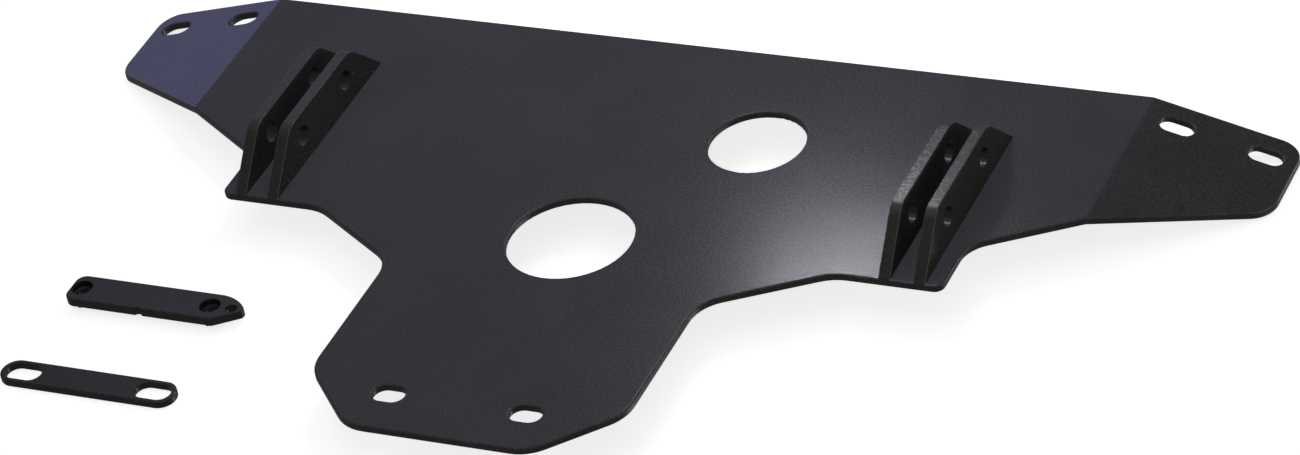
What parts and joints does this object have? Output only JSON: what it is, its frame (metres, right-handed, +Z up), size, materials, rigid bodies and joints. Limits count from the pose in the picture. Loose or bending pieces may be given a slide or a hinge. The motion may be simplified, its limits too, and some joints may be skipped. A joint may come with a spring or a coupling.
{
  "type": "plow mount plate kit",
  "caption": "Bent steel plow mount plate with a tongue, drain access holes and two welded clevises, with a loose nut strap and a slotted clamping strap.",
  "frame": {"origin": "on the plate's underside, on its centreline, midway between the two rows of clevis pin holes", "axes": "+Z up from the plate's top face, where the clevis ears stand; +X along the long side; +Y to the straight back edge, -Y to the tongue"},
  "size_m": [1.0116, 0.505, 0.0793],
  "materials": {
    "plate_coat": "satin black powder coat with a fine orange-peel grain",
    "ear_coat": "satin black powder coat with a fine orange-peel grain",
    "strap_coat": "satin black powder coat with a fine orange-peel grain",
    "nut_steel": "dark coated steel with bare, worn threads"
  },
  "bodies": {
    "plate": {"mount_plate": "plate_coat", "ear_left_outer": "ear_coat", "ear_left_inner": "ear_coat", "ear_right_inner": "ear_coat", "ear_right_outer": "ear_coat"},
    "nut_strap_set": {"nut_strap": "strap_coat", "weld_nut_left": "nut_steel", "weld_nut_right": "nut_steel"},
    "clamp_strap": {"slotted_strap": "strap_coat"}
  },
  "joints": [
    {"name": "nut_strap_lift", "type": "slide", "parent": "plate", "child": "nut_strap_set", "axis": [0, 0, 1], "range_m": [0, 0.15]},
    {"name": "clamp_strap_lift", "type": "slide", "parent": "plate", "child": "clamp_strap", "axis": [0, 0, 1], "range_m": [0, 0.15]}
  ]
}
